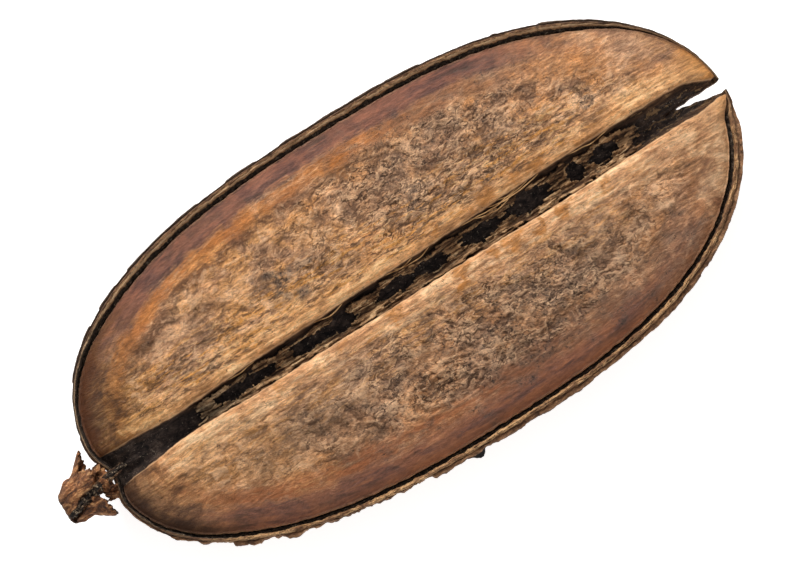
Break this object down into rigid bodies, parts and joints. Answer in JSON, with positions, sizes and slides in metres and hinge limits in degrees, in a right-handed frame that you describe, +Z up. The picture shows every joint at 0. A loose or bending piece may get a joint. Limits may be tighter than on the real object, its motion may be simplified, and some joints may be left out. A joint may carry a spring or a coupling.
{
  "type": "jacaranda seed pod",
  "caption": "Dry opened half of a jacaranda seed pod: an oblong woody shell with pale inner linings, a slot with a torn papery strip, a split tip and the calyx.",
  "frame": {"origin": "middle of the bounding box, on the surface that the pod lies on", "axes": "+X from the stalk end to the split tip, +Y to the left of it, +Z up out of the inner face"},
  "size_m": [0.0986, 0.0466, 0.011],
  "materials": {
    "bark": "matte",
    "lining": "satin",
    "papery_strip": "matte",
    "dry_calyx": "matte"
  },
  "bodies": {
    "root": {"woody_shell": "bark", "lining_left": "lining", "lining_right": "lining", "septum_strip": "papery_strip", "calyx": "dry_calyx"}
  },
  "joints": []
}
